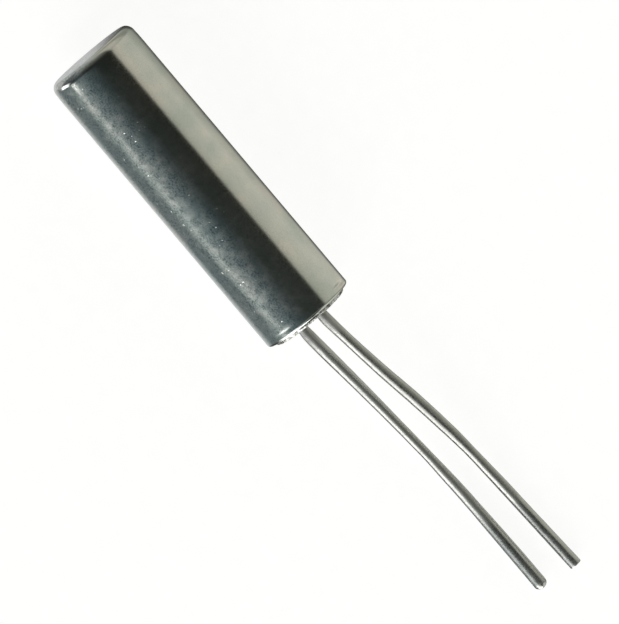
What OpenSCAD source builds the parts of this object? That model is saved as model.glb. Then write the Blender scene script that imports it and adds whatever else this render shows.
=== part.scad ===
// Two-lead quartz crystal unit in a drawn cylindrical can, lying on its side.
//
// The can's axis is X. The origin is on that axis, in the outer face of the base
// ring, which is the face that seats on a board. The leads leave towards +X, +Z is
// up, and the can and the tinned lead ends lie on the plane z = -can_d / 2.

/* [Can] */
// Outside diameter of the can
can_d = 3; // [2.8:0.1:4]
// Length of the can from its closed end to its mouth
can_len = 10; // [7:0.1:14]
// Thickness of the drawn sheet
can_wall = 0.2; // [0.12:0.01:0.25]
// Outside radius round the closed end
can_corner_r = 0.26; // [0.15:0.01:0.5]
// Rounding of the outer edge of the mouth
mouth_edge_r = 0.08; // [0.03:0.01:0.1]

/* [Base] */
// Depth of the base inside the can
base_depth = 1.5; // [1:0.1:2.5]
// How far the base ring stands out of the mouth
base_proud = 0.12; // [0.08:0.01:0.4]
// Wall of the base ring
ring_wall = 0.25; // [0.15:0.01:0.35]
// Rounding of the outer edges of the base ring
ring_edge_r = 0.1; // [0.03:0.01:0.11]
// How far the glass lies below each face of the base ring
glass_recess = 0.06; // [0.03:0.01:0.2]
// Height that the glass climbs up each lead
glass_climb = 0.07; // [0.02:0.01:0.09]
// Width of the glass climbing a lead, beyond the wire
glass_foot = 0.12; // [0.05:0.01:0.15]

/* [Leads] */
// Diameter of the lead wire
lead_d = 0.33; // [0.2:0.01:0.4]
// Distance between the two leads in the base
lead_pitch = 1.1; // [0.9:0.05:1.2]
// Turn of the pair of leads about the can's axis, in degrees
pair_turn = 51; // [0:1:90]
// Sideways place of the pair of leads off the can's axis
pair_shift = -0.05; // [-0.1:0.01:0.1]
// Reach of the leads from the base to the tip of lead A, the shorter one
lead_reach = 10.8; // [10:0.1:16]
// How much further lead B reaches
lead_b_extra = 0.1; // [0:0.05:1]
// Radius of the bend where a lead leaves the base
exit_bend_r = 1; // [0.6:0.1:1.1]
// Radius of the other bends of the leads
bend_r = 5; // [2:0.5:6]
// Thickness of the solder coat on the end of each lead
tin_coat = 0.04; // [0.02:0.01:0.08]
// Length of the taper from the wire to the coated end
tin_taper = 0.6; // [0.3:0.1:0.8]
// Rounding of the tip of lead A
tip_a_edge_r = 0.14; // [0.02:0.01:0.14]
// Rounding of the tip of lead B
tip_b_edge_r = 0.03; // [0.02:0.01:0.14]

/* [Lead routes] */
// Straight length of each lead past the glass, up to the corner of its first bend
exit_len = 0.2; // [0.2:0.05:0.35]
// Distance from the base at which both leads come down level
level_x = 8.1; // [7.8:0.1:8.6]
// Lead A: run from its last bend on the way down to the level bend
a_low_run = 0.9; // [0.8:0.1:1.2]
// Lead A: height of that last bend above the level stretch
a_low_rise = 0.1; // [0.08:0.01:0.12]
// Lead A: run from its middle bend to its last one
a_mid_run = 2.4; // [2:0.1:3]
// Lead A: height of its middle bend above the level stretch
a_mid_rise = 0.43; // [0.35:0.01:0.5]
// Lead A: sideways place of its middle bend, off the can's axis
a_mid_y = -0.02; // [-0.1:0.01:0.1]
// Lead A: sideways place of the start of its level stretch, off the can's axis
a_level_y = 0.11; // [0:0.01:0.2]
// Lead A: further sideways move along the level stretch
a_tip_side = 0.01; // [0:0.01:0.1]
// Lead B: distance from the base to its first bend on the way down
b_first_x = 0.9; // [0.8:0.1:1.2]
// Lead B: drop from its root to that first bend
b_first_drop = 0.155; // [0.1:0.005:0.2]
// Lead B: sideways move from its root to the first bend
b_first_side = 0.08; // [0:0.01:0.12]
// Lead B: run from its middle bend to the level bend
b_mid_run = 2.7; // [2.4:0.1:3.2]
// Lead B: height of its middle bend above the level stretch
b_mid_rise = 0.515; // [0.45:0.005:0.6]
// Lead B: sideways place of its middle bend, off the can's axis
b_mid_y = 1.01; // [0.8:0.01:1.1]
// Lead B: sideways place of the start of its level stretch, off the can's axis
b_level_y = 1.15; // [1.05:0.01:1.2]
// Lead B: further sideways move along the level stretch
b_tip_side = 0.13; // [0:0.01:0.2]

/* [Quartz blank] */
// Thickness of the quartz blank
blank_t = 0.2; // [0.12:0.01:0.4]
// Clearance between each long side of the blank and the can's wall
blank_side_gap = 0.4; // [0.3:0.05:0.6]
// Clearance between the blank and the closed end of the can
blank_end_gap = 1.3; // [0.5:0.1:2]
// Clearance between the blank and the glass
blank_base_gap = 0.45; // [0.3:0.05:1]
// Length of each lead that lies under the blank
lead_grip = 0.65; // [0.5:0.05:1]
// Clearance between the blank's end and the shoulder of each lead's flat
shoulder_gap = 0.1; // [0.05:0.01:0.2]

/* [Electrodes] */
// Thickness of each electrode film
electrode_t = 0.02; // [0.01:0.01:0.04]
// Bare quartz along each long side of an electrode's wide field
side_margin = 0.15; // [0.1:0.01:0.25]
// Bare quartz past the far end of an electrode
end_margin = 1; // [0.5:0.1:1.2]
// Length of the strip from the wide field to the end of the lead
strip_len = 1; // [0.5:0.1:1.2]
// Width of that strip
strip_w = 0.3; // [0.2:0.01:0.36]

/* [Adhesive] */
// Thickness of the adhesive round each lead
glue_cover = 0.12; // [0.1:0.01:0.14]
// How far the adhesive on lead B wraps past the edge of the blank
glue_wrap = 0.1; // [0.06:0.01:0.14]
// How far the adhesive runs past the inner end of each lead
glue_past = 0.2; // [0.1:0.05:0.3]
// Bare length of each lead between the adhesive and the end of the blank
glue_end_gap = 0.12; // [0.06:0.02:0.2]

/* [Hidden] */
$fn = 96;
wire_fn = 32;
// Overreach of a cut, and the joins of the wire's stretches: each stretch stops a
// seam short, and a band a hair wider than the wire covers the two seams. The coat
// starts a hair wider than the wire too, so that a clean edge parts it from the wire.
cut = 0.01;
seam = 0.01;
swell = 0.003;

can_r = can_d / 2;
bore_r = can_r - can_wall;
cavity_corner_r = max(can_corner_r - can_wall, 0);
ring_bore_r = bore_r - ring_wall;
lead_r = lead_d / 2;
tinned_r = lead_r + tin_coat;

// Places along X, from the seating face towards the closed end
base_back_x = -base_proud - base_depth;
can_back_x = -base_proud - can_len;
glass_face_x = -glass_recess;
glass_back_x = base_back_x + glass_recess;
glass_len = glass_face_x - glass_back_x;
blank_base_x = glass_back_x - blank_base_gap;
blank_far_x = can_back_x + can_wall + blank_end_gap;
shoulder_x = blank_base_x + shoulder_gap;
lead_back_x = blank_base_x - lead_grip;
field_far_x = blank_far_x + end_margin;
field_base_x = lead_back_x - strip_len;

blank_w = 2 * (bore_r - blank_side_gap);
field_w = blank_w - 2 * side_margin;

// Where each lead leaves the base, as [y, z]: lead A is the lower one
half_pair = [cos(pair_turn), sin(pair_turn)] * lead_pitch / 2;
root_a = [pair_shift, 0] - half_pair;
root_b = [pair_shift, 0] + half_pair;
tip_z = -can_r + tinned_r;

// Section of the adhesive on lead B: it covers the lead's underside and the top of
// the blank, and wraps round the blank's edge
glue_in_y = lead_pitch / 2 - lead_r - glue_cover;
glue_w = blank_w / 2 + glue_wrap - glue_in_y;
glue_h = lead_r + blank_t + 2 * glue_cover;

// Corners of each lead from the base to its tip. The last stretch is level, so that
// the tinned end lies along the surface the unit rests on.
exit_x = glass_face_x + glass_climb + exit_len;
route_a = [[exit_x, root_a[0], root_a[1]],
           [level_x - a_low_run - a_mid_run, a_mid_y, tip_z + a_mid_rise],
           [level_x - a_low_run, a_level_y, tip_z + a_low_rise],
           [level_x, a_level_y, tip_z],
           [lead_reach, a_level_y + a_tip_side, tip_z]];
route_b = [[exit_x, root_b[0], root_b[1]],
           [b_first_x, root_b[0] + b_first_side, root_b[1] - b_first_drop],
           [level_x - b_mid_run, b_mid_y, tip_z + b_mid_rise],
           [level_x, b_level_y, tip_z],
           [lead_reach + lead_b_extra, b_level_y + b_tip_side, tip_z]];

function unit(v) = v / norm(v);
// Distance from corner q of a route, between p and r, to the ends of its bend
function setback(p, q, r, bend) =
    bend * tan(acos(min(1, unit(q - p) * unit(r - q))) / 2);

// Turns a part built along +Z so that it runs from p along the direction u
module along(p, u) {
    translate(p) rotate([0, acos(u[2]), atan2(u[1], u[0])]) children();
}

// Places a part built in the frame of the pair of leads: +Y from lead A to lead B
module in_pair_frame() {
    translate([0, pair_shift, 0]) rotate([pair_turn, 0, 0]) children();
}

// What is cut from a square corner at the origin to round it
module corner_cut(edge) {
    difference() {
        translate([-edge, -edge]) square(edge + cut);
        translate([-edge, -edge]) circle(edge);
    }
}

// Rectangle with all its corners rounded
module rounded_rectangle(w, h, r) {
    difference() {
        square([w, h]);
        for (x = [0, 1], y = [0, 1])
            translate([x * w, y * h]) mirror([1 - x, 0]) mirror([0, 1 - y]) corner_cut(r);
    }
}

// Half outline of a round piece, with its two outer edges rounded
module half_outline(r, h, low_edge, top_edge) {
    difference() {
        square([r, h]);
        if (low_edge > 0) translate([r, 0]) mirror([0, 1]) corner_cut(low_edge);
        if (top_edge > 0) translate([r, h]) corner_cut(top_edge);
    }
}

// Bend of the wire at corner q, between the directions u and v
module wire_bend(q, u, v, bend) {
    turn = acos(u * v);
    seam_turn = seam / bend * 180 / PI;
    side = unit(v - u * (u * v));
    axis = cross(u, side);
    centre = q - u * bend * tan(turn / 2) + side * bend;
    multmatrix([[-side[0], u[0], axis[0], centre[0]],
                [-side[1], u[1], axis[1], centre[1]],
                [-side[2], u[2], axis[2], centre[2]],
                [0, 0, 0, 1]])
        rotate([0, 0, seam_turn])
            rotate_extrude(angle = turn - 2 * seam_turn, $fn = 360)
                translate([bend, 0]) circle(lead_r, $fn = wire_fn);
}

// Round wire along points, with a bend of its own radius at each corner
module wire(points, bends, setbacks) {
    last = len(points) - 1;
    for (i = [0 : last - 1]) {
        u = unit(points[i + 1] - points[i]);
        run = norm(points[i + 1] - points[i]) - setbacks[i] - setbacks[i + 1];
        along(points[i] + u * setbacks[i], u) {
            translate([0, 0, seam]) cylinder(r = lead_r, h = run - 2 * seam, $fn = wire_fn);
            for (z = [if (i > 0) 0, if (i + 1 < last) run])
                translate([0, 0, z])
                    cylinder(r = lead_r + swell, h = 4 * seam, center = true, $fn = wire_fn);
        }
    }
    for (i = [1 : last - 1])
        wire_bend(points[i], unit(points[i] - points[i - 1]), unit(points[i + 1] - points[i]), bends[i]);
}

// Coated end of a lead, from its taper to its rounded tip
module tinned_end(length, edge_r) {
    rotate_extrude($fn = wire_fn)
        difference() {
            polygon([[0, 0], [lead_r + swell, 0], [tinned_r, tin_taper], [tinned_r, length], [0, length]]);
            translate([tinned_r, length]) corner_cut(min(edge_r, 0.8 * tinned_r));
        }
}

// One lead: flat under the blank, straight through the glass, bent along its route
// and coated with solder at its end
module lead(root, route, edge_r) {
    points = concat([[lead_back_x - seam, root[0], root[1]]], route);
    last = len(points) - 1;
    bends = [for (i = [0 : last]) i == 1 ? exit_bend_r : bend_r];
    setbacks = [for (i = [0 : last]) i == 0 || i == last ? 0 :
        setback(points[i - 1], points[i], points[i + 1], bends[i])];
    heading = unit(points[last] - points[last - 1]);
    tin_from = points[last - 1] + heading * (setbacks[last - 1] + lead_d);
    wire_end = tin_from + heading * (tin_taper + lead_r);
    difference() {
        union() {
            wire([for (i = [0 : last]) i == last ? wire_end : points[i]], bends, setbacks);
            along(tin_from, heading) tinned_end(norm(points[last] - tin_from), edge_r);
        }
        in_pair_frame()
            translate([lead_back_x - cut, -can_r, 0])
                cube([shoulder_x - lead_back_x + cut, can_d, can_r]);
    }
}

module can() {
    color("silver")
        along([can_back_x, 0, 0], [1, 0, 0])
            rotate_extrude()
                difference() {
                    half_outline(can_r, can_len, can_corner_r, mouth_edge_r);
                    translate([0, can_wall])
                        half_outline(bore_r, can_len, cavity_corner_r, 0);
                }
}

module base_ring() {
    color("lightgray")
        along([base_back_x, 0, 0], [1, 0, 0])
            rotate_extrude()
                difference() {
                    half_outline(bore_r, base_depth + base_proud, ring_edge_r, ring_edge_r);
                    translate([0, -cut])
                        square([ring_bore_r, base_depth + base_proud + 2 * cut]);
                }
}

// Glass that fills the ring and climbs each lead a little on the outside
module glass_seal() {
    color("darkslategray")
        difference() {
            union() {
                along([glass_back_x, 0, 0], [1, 0, 0]) cylinder(r = ring_bore_r, h = glass_len);
                for (root = [root_a, root_b])
                    along([glass_face_x, root[0], root[1]], [1, 0, 0])
                        cylinder(r1 = lead_r + glass_foot, r2 = lead_r + cut, h = glass_climb, $fn = wire_fn);
            }
            for (root = [root_a, root_b])
                along([glass_back_x - cut, root[0], root[1]], [1, 0, 0])
                    cylinder(r = lead_r, h = glass_len + glass_climb + 2 * cut, $fn = wire_fn);
        }
}

module lead_a() {
    color("gainsboro") lead(root_a, route_a, tip_a_edge_r);
}

module lead_b() {
    color("gainsboro") lead(root_b, route_b, tip_b_edge_r);
}

// The blank lies on the flats of both leads
module quartz_blank() {
    color("aliceblue")
        in_pair_frame()
            translate([blank_far_x, -blank_w / 2, 0])
                cube([blank_base_x - blank_far_x, blank_w, blank_t]);
}

// An electrode in the pair's frame, from height z up: a wide field, and a strip in
// line with the lead on one side (+1 or -1) that runs as far as strip_end_x
module electrode(z, side, strip_end_x) {
    translate([field_far_x, -field_w / 2, z])
        cube([field_base_x - field_far_x, field_w, electrode_t]);
    translate([field_base_x - cut, side * lead_pitch / 2 - strip_w / 2, z])
        cube([strip_end_x - field_base_x + cut, strip_w, electrode_t]);
}

module electrode_front() {
    color("lightsteelblue")
        in_pair_frame() electrode(blank_t, 1, lead_back_x + lead_grip / 2);
}

module electrode_back() {
    color("lightsteelblue")
        in_pair_frame() electrode(-electrode_t, -1, lead_back_x);
}

// A bar of adhesive along a lead's inner end, in the pair's frame: its section is
// drawn as [y, z] and stops short of the end of the blank
module glue_bar() {
    translate([lead_back_x - glue_past, 0, 0])
        multmatrix([[0, 0, 1, 0], [1, 0, 0, 0], [0, 1, 0, 0], [0, 0, 0, 1]])
            linear_extrude(height = lead_grip + glue_past - glue_end_gap) children();
}

// Under lead A and up to the blank
module adhesive_a() {
    color("dimgray")
        difference() {
            in_pair_frame()
                glue_bar()
                    difference() {
                        translate([-lead_pitch / 2, 0]) circle(lead_r + glue_cover);
                        translate([-can_d, 0]) square([can_d, can_r]);
                    }
            electrode_back();
            lead_a();
        }
}

// Round lead B and over the edge of the blank
module adhesive_b() {
    color("dimgray")
        difference() {
            in_pair_frame()
                glue_bar()
                    translate([glue_in_y, -lead_r - glue_cover])
                        rounded_rectangle(glue_w, glue_h, glue_cover);
            quartz_blank();
            electrode_front();
            lead_b();
        }
}

can();
base_ring();
glass_seal();
lead_a();
lead_b();
quartz_blank();
electrode_front();
electrode_back();
adhesive_a();
adhesive_b();
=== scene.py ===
# %% [markdown]
# # A crystal unit in a drawn metal can
# The object is a sealed can, 3 mm across and 10 mm long, with a metal ring and a glass
# plug in its mouth and two wire leads that leave through the glass. Inside, a slip of
# quartz stands on the leads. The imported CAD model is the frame: it fixes the size and
# the place of every piece, and the pieces made here are built over it.
# Lengths are written in millimetres and turned to metres by MM.

# %% Load the frame
import math

import bmesh
import bpy
from mathutils import Matrix, Vector, noise


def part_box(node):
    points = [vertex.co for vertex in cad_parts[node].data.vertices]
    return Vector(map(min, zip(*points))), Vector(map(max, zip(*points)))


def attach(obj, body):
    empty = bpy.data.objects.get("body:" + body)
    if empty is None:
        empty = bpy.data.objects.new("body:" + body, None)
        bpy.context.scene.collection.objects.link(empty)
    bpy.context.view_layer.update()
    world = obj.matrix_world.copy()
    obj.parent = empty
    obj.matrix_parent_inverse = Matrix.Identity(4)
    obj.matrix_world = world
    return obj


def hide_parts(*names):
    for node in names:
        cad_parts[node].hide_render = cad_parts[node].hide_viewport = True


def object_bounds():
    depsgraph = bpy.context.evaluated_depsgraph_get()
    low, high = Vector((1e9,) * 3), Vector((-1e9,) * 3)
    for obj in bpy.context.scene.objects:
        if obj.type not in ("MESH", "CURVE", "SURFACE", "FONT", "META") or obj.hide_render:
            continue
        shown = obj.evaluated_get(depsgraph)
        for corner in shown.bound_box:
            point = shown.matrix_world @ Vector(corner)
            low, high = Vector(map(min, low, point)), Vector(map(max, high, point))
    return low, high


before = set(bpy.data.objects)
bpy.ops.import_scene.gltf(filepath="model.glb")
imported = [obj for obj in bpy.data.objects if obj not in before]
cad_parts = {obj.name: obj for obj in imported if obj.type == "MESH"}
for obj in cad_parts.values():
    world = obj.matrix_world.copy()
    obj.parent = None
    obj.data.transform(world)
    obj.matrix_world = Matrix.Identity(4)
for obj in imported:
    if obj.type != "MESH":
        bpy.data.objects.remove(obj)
CAD_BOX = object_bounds()
MM = 0.001
SCENE = bpy.context.scene
print("CAD nodes:", ", ".join(sorted(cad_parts)))
print("CAD box, mm:", [round(v / MM, 2) for v in CAD_BOX[1] - CAD_BOX[0]])

# %% [markdown]
# ## Small tools
# Every material, light and shape below is made of nodes, so one function adds a node,
# sets it and links it. A link is given by passing an output socket as the value.
# Colours are written as the hex values that a colour picker shows, which are sRGB, and
# Blender works in linear light, so one function turns them.


# %% Add a node, turn a colour
def add_node(tree, kind, settings=None, inputs=None, stops=None):
    """Adds a node. stops are the (place, hex colour) pairs of a colour ramp."""
    node = tree.nodes.new(kind)
    for name, value in (settings or {}).items():
        setattr(node, name, value)
    for key, value in (inputs or {}).items():
        if isinstance(value, bpy.types.NodeSocket):
            tree.links.new(value, node.inputs[key])
        else:
            node.inputs[key].default_value = value
    if stops:
        marks = node.color_ramp.elements
        while len(marks) < len(stops):
            marks.new(0.5)
        for mark, (place, colour) in zip(marks, stops):
            mark.position = place
            mark.color = srgb(colour)
    return node


# A Mix node of colours has its two colours and its result at these sockets
MIX_A, MIX_B, MIX_OUT = 6, 7, 2


def srgb(hex_code):
    """The linear colour, with its alpha, of a hex code such as #808080."""
    values = [int(hex_code[i : i + 2], 16) / 255 for i in (1, 3, 5)]
    linear = [v / 12.92 if v <= 0.04045 else ((v + 0.055) / 1.055) ** 2.4 for v in values]
    return (*linear, 1.0)


print("mid grey #808080 in linear light:", round(srgb("#808080")[0], 3))

# %% [markdown]
# ## The camera
# The unit is seen from almost straight above through a long lens, a little from the
# side of the closed end, and runs from the upper left to the lower right. A camera can
# be aimed with a Track To constraint, but its roll is then hard to set. Here its three
# axes are worked out from the direction that the can's axis takes in the picture.

# %% Place the camera
FRAME_PX = (619, 624)
PX_PER_MM = 34.1
CAMERA_DISTANCE = 208 * MM
TILT = math.radians(6.5)
AXIS_IN_PICTURE = math.radians(-49.83)
AIM = Vector((-0.157, 0.082, 0)) * MM

along_picture = Vector((math.cos(TILT), 0, math.sin(TILT)))
across_picture = Vector((0, 1, 0))
cos_roll, sin_roll = math.cos(AXIS_IN_PICTURE), math.sin(AXIS_IN_PICTURE)
camera_right = cos_roll * along_picture - sin_roll * across_picture
camera_up = sin_roll * along_picture + cos_roll * across_picture
camera_back = camera_right.cross(camera_up)

camera = bpy.data.objects.new("camera", bpy.data.cameras.new("camera"))
SCENE.collection.objects.link(camera)
turn = Matrix((camera_right, camera_up, camera_back)).transposed()
camera.matrix_world = Matrix.Translation(AIM + CAMERA_DISTANCE * camera_back) @ turn.to_4x4()
view_height = FRAME_PX[1] / PX_PER_MM * MM
camera.data.lens = camera.data.sensor_width * CAMERA_DISTANCE / view_height
camera.data.clip_start, camera.data.clip_end = 0.001, 10
SCENE.camera = camera
print("lens, mm:", round(camera.data.lens, 1))

# %% [markdown]
# ## The light
# A bright metal surface shows its surroundings, so its look is made by what stands
# round it. Area lights could do that, but each would need its own place and power.
# Here the surroundings are painted on the world by direction. Two values name a
# direction: how far it points along the can, from -1 behind the closed end to 1 in front
# of the leads, and its angle round the can, with 0 straight up, 90 on the side of a pale
# screen and -90 on the side of the lamps. The camera itself sees an even pale background.

# %% Read the direction
SCENE.view_settings.view_transform = "Standard"
world = bpy.data.worlds.new("studio")
world.use_nodes = True
SCENE.world = world
sky = world.node_tree
sky.nodes.clear()

direction = add_node(sky, "ShaderNodeTexCoord").outputs["Generated"]
axes = add_node(sky, "ShaderNodeSeparateXYZ", inputs={0: direction})
along = axes.outputs["X"]
turned = add_node(
    sky, "ShaderNodeMath", {"operation": "ARCTAN2"}, {0: axes.outputs["Y"], 1: axes.outputs["Z"]}
)
angle = add_node(
    sky, "ShaderNodeMath", {"operation": "MULTIPLY"}, {0: turned.outputs[0], 1: 180 / math.pi}
).outputs[0]
print("nodes that read the direction:", len(sky.nodes))

# %% [markdown]
# The straight wall of the can mirrors one narrow belt of directions round it, and the
# sloping leads mirror another, so each belt is a colour ramp by angle. What the rounded
# ends mirror is a ramp by the distance along the can, one for each side.

# %% Choose the colours of the surroundings
CAN_BELT = [
    (-180, "#D4D6D7"), (-166, "#F0F2F4"), (-142, "#B6BDBE"), (-130, "#7A8488"), (-96, "#748184"),
    (-77, "#94A1A2"), (-48, "#6B797E"), (-24, "#455054"), (0, "#242A29"), (44.5, "#1D1D19"),
    (49, "#B6B7AC"), (64, "#C6C7BC"), (105, "#C8C9BF"), (140, "#A5A69C"), (151, "#757670"),
    (163, "#5C5C58"), (179.4, "#4A4B48"), (179.75, "#6E6F6B"), (179.93, "#C0C1BE"), (180, "#DCDEDF"),
]
LEAD_BELT = [
    (-180, "#707270"), (-150, "#50544F"), (-112, "#545853"), (-101, "#E4E8E6"), (-58, "#FFFFFF"),
    (-32, "#C4C8C6"), (-14, "#A7ABA8"), (8, "#84877F"), (40, "#757770"), (61, "#82847B"),
    (85, "#96988E"), (116, "#A6A89D"), (140, "#8E9087"), (180, "#707270"),
]
END_CEILING = [
    (-1.0, "#B4B4AF"), (-0.92, "#90908C"), (-0.8, "#6E6E6B"), (-0.6, "#4C4D4A"), (-0.4, "#2C2D2B"),
    (-0.2, "#272A28"),
]
END_SCREEN = [(-1.0, "#C0C1B6"), (-0.7, "#BCBDB3"), (-0.4, "#B2B3A9"), (-0.2, "#A0A198")]
END_LAMPS = [
    (-1.0, "#ACAFB1"), (-0.9, "#969A9C"), (-0.7, "#787C7E"), (-0.4, "#464B4E"), (-0.2, "#3E4548"),
]
END_FLOOR = [(-1.0, "#BEC0C1"), (-0.8, "#C6C8C9"), (-0.5, "#CACCCD"), (-0.2, "#CED0D1")]


def ramp_stops(stops, start, end):
    """Turns stops at angles or distances into places from 0 to 1 along a ramp."""
    return [((value - start) / (end - start), colour) for value, colour in stops]


angle_share = add_node(
    sky, "ShaderNodeMapRange", inputs={"Value": angle, "From Min": -180, "From Max": 180}
)
along_share = add_node(
    sky, "ShaderNodeMapRange", inputs={"Value": along, "From Min": -1, "From Max": 0}
)
can_belt, lead_belt = (
    add_node(
        sky,
        "ShaderNodeValToRGB",
        inputs={"Fac": angle_share.outputs[0]},
        stops=ramp_stops(belt, -180, 180),
    ).outputs["Color"]
    for belt in (CAN_BELT, LEAD_BELT)
)
end_ceiling, end_screen, end_lamps, end_floor = (
    add_node(
        sky,
        "ShaderNodeValToRGB",
        inputs={"Fac": along_share.outputs[0]},
        stops=ramp_stops(end, -1, 0),
    ).outputs["Color"]
    for end in (END_CEILING, END_SCREEN, END_LAMPS, END_FLOOR)
)
print(len(CAN_BELT), "stops for the can and", len(LEAD_BELT), "for the leads")

# %% [markdown]
# Screens and lamps are patches with soft edges, painted one over another. Each has a
# range along the can and a range of angles. The four values of a range say where the
# patch starts, is full, stops being full and ends; None leaves that side open. A
# strength above 1 makes the patch a lamp.

# %% Hang the screens and lamps
EVERYWHERE = (None, None, None, None)
PATCHES = [
    ("far screen", (0.075, 0.135, None, None), (60, 115, 140, 160), "#DCDDD3", 1.0),
    ("leads", (0.15, 0.26, None, None), EVERYWHERE, lead_belt, 1.0),
    ("tip ceiling", (0.15, 0.165, 0.24, 0.3), (-50, -20, 34, 44), "#676C6B", 1.0),
    ("end floor", (-0.15, -0.3, None, None), (None, None, -125, -112), end_floor, 1.0),
    ("end lamps", (0.03, -0.2, None, None), (-125, -112, -60, -30), end_lamps, 1.0),
    ("end ceiling", (0.0, -0.25, None, None), (-60, -30, 42, 54), end_ceiling, 1.0),
    ("end screen", (-0.25, -0.4, None, None), (42, 54, None, None), end_screen, 1.0),
    ("end corner", (-0.02, -0.05, -0.3, -0.55), (140, 162, 179.65, 179.95), "#464744", 1.0),
    ("end screen foot", (-0.2, -0.35, None, None), (96, 118, 134, 164), "#96978F", 1.0),
    ("front", (0.5, 0.75, None, None), EVERYWHERE, "#E0E2DC", 1.0),
    ("front ceiling", (0.36, 0.6, None, None), (-30, -12, 28, 48), "#1C1E1B", 1.0),
    ("front floor", (0.3, 0.6, None, None), (163, 175, None, None), "#3C3E3A", 1.0),
    ("front lamp", (0.6, 0.8, None, None), (-178, -168, -62, -40), "#FFFFFF", 3.4),
    ("end lamp", (-0.42, -0.3, -0.13, -0.06), (-120, -110, -94, -84), "#FFFFFF", 3.4),
    ("near strip lamp", (-0.05, -0.02, 0.02, 0.05), (-83, -78, -74, -64), "#FFFFFF", 2.0),
    ("middle strip", (0.076, 0.092, 0.1, 0.11), (-97, -86, -78, -68), "#CAD4D4", 1.0),
    ("far strip lamp", (0.15, 0.165, 0.18, 0.2), (-84, -78, -70, -54), "#FFFFFF", 1.6),
    ("lead lamp", (0.21, 0.3, 0.5, 0.58), (-104, -94, -58, -32), "#FFFFFF", 2.4),
]


def paint_patch(below, along_edges, angle_edges, colour, strength):
    """Paints a patch over what is below it and gives the colour of both together."""
    share = 1.0
    for value, edges in ((along, along_edges), (angle, angle_edges)):
        # Each edge runs from where the patch shows not at all to where it is full
        for none, full in (edges[:2], edges[3:1:-1]):
            if none is None:
                continue
            rising = none < full
            soft = add_node(
                sky,
                "ShaderNodeMapRange",
                {"interpolation_type": "SMOOTHSTEP"},
                {
                    "Value": value,
                    "From Min": min(none, full),
                    "From Max": max(none, full),
                    "To Min": 0.0 if rising else 1.0,
                    "To Max": 1.0 if rising else 0.0,
                },
            )
            share = add_node(
                sky, "ShaderNodeMath", {"operation": "MULTIPLY"}, {0: share, 1: soft.outputs[0]}
            ).outputs[0]
    if isinstance(colour, str):
        colour = tuple(strength * value for value in srgb(colour)[:3]) + (1.0,)
    mixed = add_node(
        sky, "ShaderNodeMix", {"data_type": "RGBA"}, {"Factor": share, MIX_A: below, MIX_B: colour}
    )
    return mixed.outputs[MIX_OUT]


shine = can_belt
for patch_name, along_edges, angle_edges, colour, strength in PATCHES:
    shine = paint_patch(shine, along_edges, angle_edges, colour, strength)

seen_direct = add_node(sky, "ShaderNodeLightPath").outputs["Is Camera Ray"]
shine = add_node(
    sky,
    "ShaderNodeMix",
    {"data_type": "RGBA"},
    {"Factor": seen_direct, MIX_A: shine, MIX_B: srgb("#FEFEFE")},
)
background = add_node(
    sky, "ShaderNodeBackground", inputs={"Color": shine.outputs[MIX_OUT], "Strength": 1.0}
)
add_node(sky, "ShaderNodeOutputWorld", inputs={"Surface": background.outputs[0]})
print(len(PATCHES), "patches and", len(sky.nodes), "nodes in the sky")

# %% [markdown]
# ## The floor
# A sheet of white paper that glows a little, so that the unit's shadow on it stays
# faint. It lies at the lowest point of the CAD model. The metal doesn't mirror the paper
# itself but the painted surroundings, which are easier to shape.

# %% Lay the floor
FLOOR_Z = CAD_BOX[0].z
FLOOR_HALF = 400 * MM
FIBRE_SIZE = 0.4

paper = bpy.data.materials.new("white_paper")
paper.use_nodes = True
sheet = paper.node_tree
sheet.nodes.clear()
fibres = add_node(
    sheet,
    "ShaderNodeTexNoise",
    inputs={
        "Vector": add_node(sheet, "ShaderNodeTexCoord").outputs["Object"],
        "Scale": 1 / (FIBRE_SIZE * MM),
        "Detail": 3.0,
    },
)
tone = add_node(
    sheet,
    "ShaderNodeMix",
    {"data_type": "RGBA"},
    {"Factor": fibres.outputs["Fac"], MIX_A: srgb("#FBFBFA"), MIX_B: srgb("#FFFFFE")},
)
paper_surface = add_node(
    sheet,
    "ShaderNodeBsdfPrincipled",
    inputs={
        "Base Color": srgb("#9C9C9B"),
        "Roughness": 0.9,
        "Emission Color": tone.outputs[MIX_OUT],
        "Emission Strength": 0.92,
    },
)
add_node(sheet, "ShaderNodeOutputMaterial", inputs={"Surface": paper_surface.outputs[0]})

floor_mesh = bpy.data.meshes.new("floor")
sheet_corners = [
    (x * FLOOR_HALF, y * FLOOR_HALF, FLOOR_Z) for x, y in ((-1, -1), (1, -1), (1, 1), (-1, 1))
]
floor_mesh.from_pydata(sheet_corners, [], [(0, 1, 2, 3)])
floor_mesh.materials.append(paper)
floor = bpy.data.objects.new("floor", floor_mesh)
SCENE.collection.objects.link(floor)
floor.visible_glossy = False
print("floor at z, mm:", round(FLOOR_Z / MM, 2))

# %% [markdown]
# ## The sizes
# The places along the can's axis come from the frame, so the pieces made here fit the
# CAD nodes that they stand for. The small sizes, such as walls and rounded edges, are
# written here. All are in millimetres, with x = 0 on the seating face of the base.

# %% Read the places, name the sizes
# A hair sets two points just apart, or tells a face from the one beside it
HAIR = 0.01
BACK_X, MOUTH_X = (corner.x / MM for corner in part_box("can"))
CAN_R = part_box("can")[1].z / MM
CAN_WALL = 0.2
# The rounded corner of the closed end is a little longer than it is wide
CAN_CORNER_LENGTH, CAN_CORNER_WIDTH = 0.28, 0.22
MOUTH_EDGE_R = 0.08
BORE_R = CAN_R - CAN_WALL

RING_BACK_X, RING_FACE_X = (corner.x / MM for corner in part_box("base_ring"))
RING_WALL = 0.25
RING_EDGE_R = 0.1
RING_LIP_R = 0.03
RING_BORE_R = BORE_R - RING_WALL

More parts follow.
